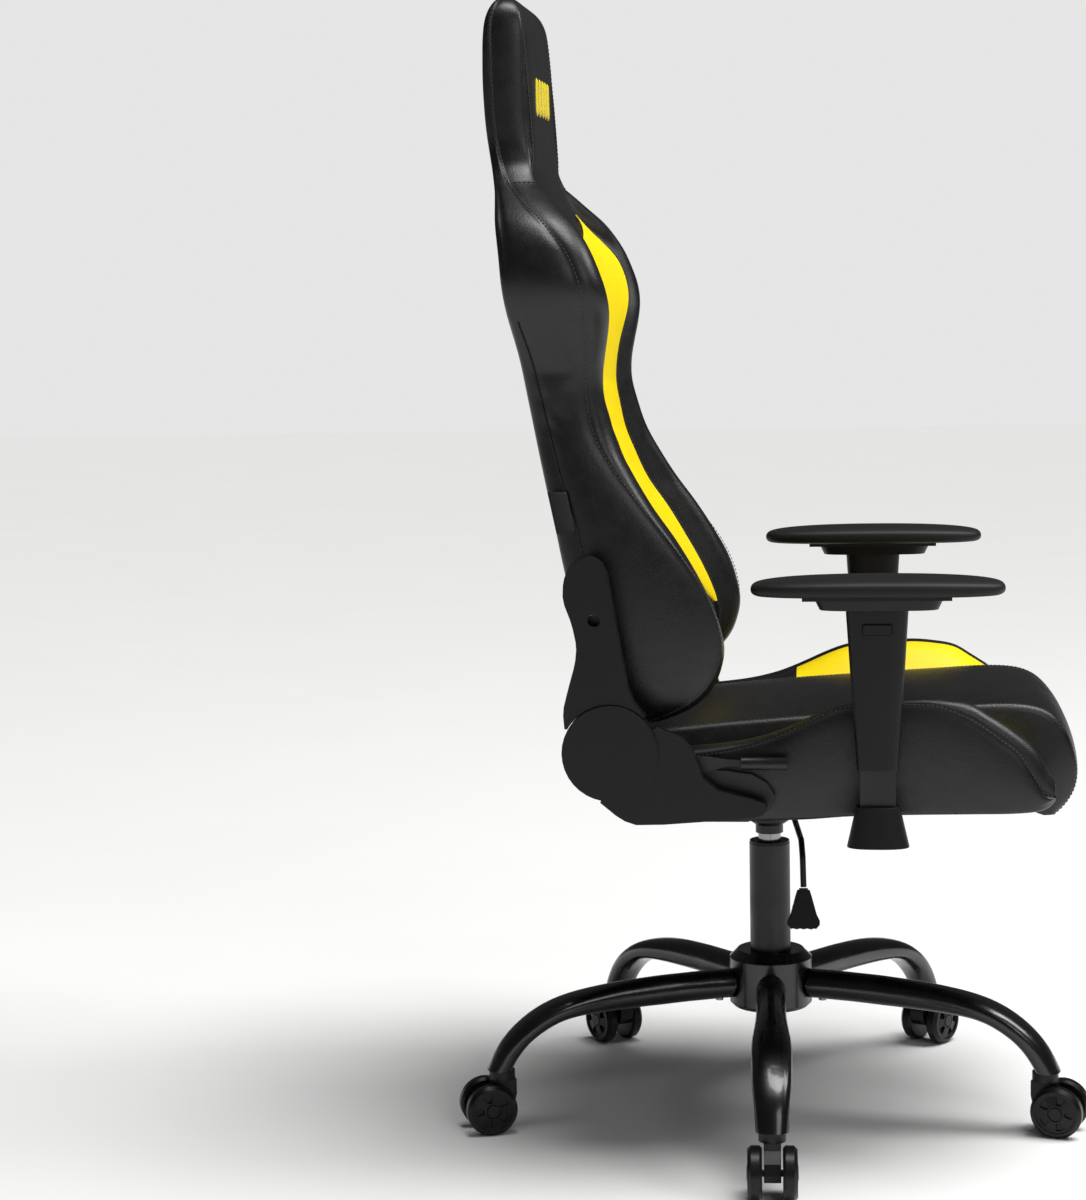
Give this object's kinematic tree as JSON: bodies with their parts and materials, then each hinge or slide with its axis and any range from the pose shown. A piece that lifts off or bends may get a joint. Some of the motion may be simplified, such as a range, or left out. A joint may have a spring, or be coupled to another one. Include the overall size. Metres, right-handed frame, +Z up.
{
  "type": "gaming chair",
  "caption": "High-backed bucket-style gaming chair with swivel base on casters, gas lift, reclining back and height-adjustable armrests.",
  "frame": {"origin": "on the floor under the axis of the gas lift", "axes": "+Z up, the chair faces -Y, +X is the sitter's left"},
  "size_m": [0.7392, 0.7641, 1.362],
  "materials": {
    "painted_base": "gloss black powder coat",
    "black_steel": "satin black powder coat",
    "zinc_steel": "zinc plated",
    "tube_black": "satin black",
    "chrome": "polished chrome",
    "nylon_black": "moulded satin",
    "wheel_black": "moulded satin, gloss rim",
    "cover_plastic": "fine moulded texture",
    "bush_plastic": "smooth",
    "leather_black": "grained synthetic leather over foam",
    "pad_pu": "textured polyurethane skin"
  },
  "bodies": {
    "base": {"base_hub": "painted_base", "base_leg_1": "painted_base", "base_leg_2": "painted_base", "base_leg_3": "painted_base", "base_leg_4": "painted_base", "base_leg_5": "painted_base", "leg_screws": "zinc_steel", "caster_sockets": "zinc_steel", "lift_outer_tube": "tube_black", "lift_bushes": "bush_plastic"},
    "lift_rod": {"lift_piston_rod": "zinc_steel"},
    "seat": {"lift_cylinder": "chrome", "seat_mechanism": "black_steel", "mechanism_screws": "zinc_steel", "seat_frame": "black_steel", "seat_cushion": "leather_black", "seat_bolster_left": "leather_black", "seat_bolster_right": "leather_black", "recliner_seat_plate_left": "black_steel", "recliner_seat_plate_right": "black_steel", "recliner_cover_left": "cover_plastic", "recliner_cover_right": "cover_plastic", "arm_bracket_left": "black_steel", "arm_bracket_right": "black_steel", "arm_base_cover_left": "cover_plastic", "arm_base_cover_right": "cover_plastic"},
    "valve": {"valve_pin": "zinc_steel"},
    "height_lever": {"gas_lever_rod": "black_steel", "gas_lever_paddle": "cover_plastic"},
    "back": {"back_frame": "black_steel", "back_cushion": "leather_black", "back_bolster_left": "leather_black", "back_bolster_right": "leather_black", "back_bracket_cover_left": "cover_plastic", "back_bracket_cover_right": "cover_plastic", "back_bolts": "zinc_steel"},
    "recline_lever": {"recline_lever": "black_steel"},
    "arm_left": {"arm_sleeve_left": "cover_plastic", "arm_plate_left": "cover_plastic", "arm_pad_left": "pad_pu"},
    "button_left": {"arm_button_left": "cover_plastic"},
    "arm_right": {"arm_sleeve_right": "cover_plastic", "arm_plate_right": "cover_plastic", "arm_pad_right": "pad_pu"},
    "button_right": {"arm_button_right": "cover_plastic"},
    "caster_1": {"caster_1_fork": "nylon_black"},
    "caster_1_wheel_a": {"caster_1_wheel_a": "wheel_black"},
    "caster_1_wheel_b": {"caster_1_wheel_b": "wheel_black"},
    "caster_2": {"caster_2_fork": "nylon_black"},
    "caster_2_wheel_a": {"caster_2_wheel_a": "wheel_black"},
    "caster_2_wheel_b": {"caster_2_wheel_b": "wheel_black"},
    "caster_3": {"caster_3_fork": "nylon_black"},
    "caster_3_wheel_a": {"caster_3_wheel_a": "wheel_black"},
    "caster_3_wheel_b": {"caster_3_wheel_b": "wheel_black"},
    "caster_4": {"caster_4_fork": "nylon_black"},
    "caster_4_wheel_a": {"caster_4_wheel_a": "wheel_black"},
    "caster_4_wheel_b": {"caster_4_wheel_b": "wheel_black"},
    "caster_5": {"caster_5_fork": "nylon_black"},
    "caster_5_wheel_a": {"caster_5_wheel_a": "wheel_black"},
    "caster_5_wheel_b": {"caster_5_wheel_b": "wheel_black"}
  },
  "joints": [
    {"name": "seat_swivel", "type": "hinge", "parent": "base", "child": "lift_rod", "pos_m": [0, 0, 0.13], "axis": [0, 0, 1], "continuous": true},
    {"name": "gas_lift", "type": "slide", "parent": "lift_rod", "child": "seat", "axis": [0, 0, 1], "range_m": [0, 0.08]},
    {"name": "gas_lever", "type": "hinge", "parent": "seat", "child": "height_lever", "pos_m": [-0.04, 0, 0.376], "axis": [0, 1, 0], "range_deg": [0, 6], "stiffness_Nm_per_rad": 3, "springref_deg": -5.73},
    {"name": "valve_press", "type": "slide", "parent": "seat", "child": "valve", "axis": [0, 0, -1], "range_m": [0, 0.0045]},
    {"name": "backrest_recline", "type": "hinge", "parent": "seat", "child": "back", "pos_m": [0, 0.171, 0.497], "axis": [-1, 0, 0], "range_deg": [0, 52]},
    {"name": "recline_lever_pull", "type": "hinge", "parent": "seat", "child": "recline_lever", "pos_m": [-0.272, 0.095, 0.478], "axis": [-1, 0, 0], "range_deg": [0, 25], "stiffness_Nm_per_rad": 1, "springref_deg": -8.59},
    {"name": "arm_height_left", "type": "slide", "parent": "seat", "child": "arm_left", "axis": [0, 0, 1], "range_m": [-0.036, 0.036]},
    {"name": "arm_button_left", "type": "slide", "parent": "arm_left", "child": "button_left", "axis": [-1, 0, 0], "range_m": [0, 0.003], "stiffness_N_per_m": 500, "springref_m": -0.002},
    {"name": "arm_height_right", "type": "slide", "parent": "seat", "child": "arm_right", "axis": [0, 0, 1], "range_m": [-0.036, 0.036]},
    {"name": "arm_button_right", "type": "slide", "parent": "arm_right", "child": "button_right", "axis": [1, 0, 0], "range_m": [0, 0.003], "stiffness_N_per_m": 500, "springref_m": -0.002},
    {"name": "caster_1_swivel", "type": "hinge", "parent": "base", "child": "caster_1", "pos_m": [-0.34485, -0.01023, 0.075], "axis": [0, 0, 1], "continuous": true},
    {"name": "caster_1_roll_a", "type": "hinge", "parent": "caster_1", "child": "caster_1_wheel_a", "pos_m": [-0.36284, -0.01077, 0.031], "axis": [0.0297, -0.9996, 0], "continuous": true},
    {"name": "caster_1_roll_b", "type": "hinge", "parent": "caster_1", "child": "caster_1_wheel_b", "pos_m": [-0.36284, -0.01077, 0.031], "axis": [0.0297, -0.9996, 0], "continuous": true},
    {"name": "caster_2_swivel", "type": "hinge", "parent": "base", "child": "caster_2", "pos_m": [-0.09683, -0.33113, 0.075], "axis": [0, 0, 1], "continuous": true},
    {"name": "caster_2_roll_a", "type": "hinge", "parent": "caster_2", "child": "caster_2_wheel_a", "pos_m": [-0.10188, -0.34841, 0.031], "axis": [0.9598, -0.2807, 0], "continuous": true},
    {"name": "caster_2_roll_b", "type": "hinge", "parent": "caster_2", "child": "caster_2_wheel_b", "pos_m": [-0.10188, -0.34841, 0.031], "axis": [0.9598, -0.2807, 0], "continuous": true},
    {"name": "caster_3_swivel", "type": "hinge", "parent": "base", "child": "caster_3", "pos_m": [0.285, -0.19442, 0.075], "axis": [0, 0, 1], "continuous": true},
    {"name": "caster_3_roll_a", "type": "hinge", "parent": "caster_3", "child": "caster_3_wheel_a", "pos_m": [0.29987, -0.20456, 0.031], "axis": [0.5635, 0.8261, 0], "continuous": true},
    {"name": "caster_3_roll_b", "type": "hinge", "parent": "caster_3", "child": "caster_3_wheel_b", "pos_m": [0.29987, -0.20456, 0.031], "axis": [0.5635, 0.8261, 0], "continuous": true},
    {"name": "caster_4_swivel", "type": "hinge", "parent": "base", "child": "caster_4", "pos_m": [0.27297, 0.21098, 0.075], "axis": [0, 0, 1], "continuous": true},
    {"name": "caster_4_roll_a", "type": "hinge", "parent": "caster_4", "child": "caster_4_wheel_a", "pos_m": [0.28721, 0.22198, 0.031], "axis": [-0.6115, 0.7912, 0], "continuous": true},
    {"name": "caster_4_roll_b", "type": "hinge", "parent": "caster_4", "child": "caster_4_wheel_b", "pos_m": [0.28721, 0.22198, 0.031], "axis": [-0.6115, 0.7912, 0], "continuous": true},
    {"name": "caster_5_swivel", "type": "hinge", "parent": "base", "child": "caster_5", "pos_m": [-0.1163, 0.32481, 0.075], "axis": [0, 0, 1], "continuous": true},
    {"name": "caster_5_roll_a", "type": "hinge", "parent": "caster_5", "child": "caster_5_wheel_a", "pos_m": [-0.12237, 0.34175, 0.031], "axis": [-0.9415, -0.3371, 0], "continuous": true},
    {"name": "caster_5_roll_b", "type": "hinge", "parent": "caster_5", "child": "caster_5_wheel_b", "pos_m": [-0.12237, 0.34175, 0.031], "axis": [-0.9415, -0.3371, 0], "continuous": true}
  ],
  "couplings": [
    {"joint": "valve_press", "follows": "gas_lever", "m_per_rad": 0.04}
  ]
}
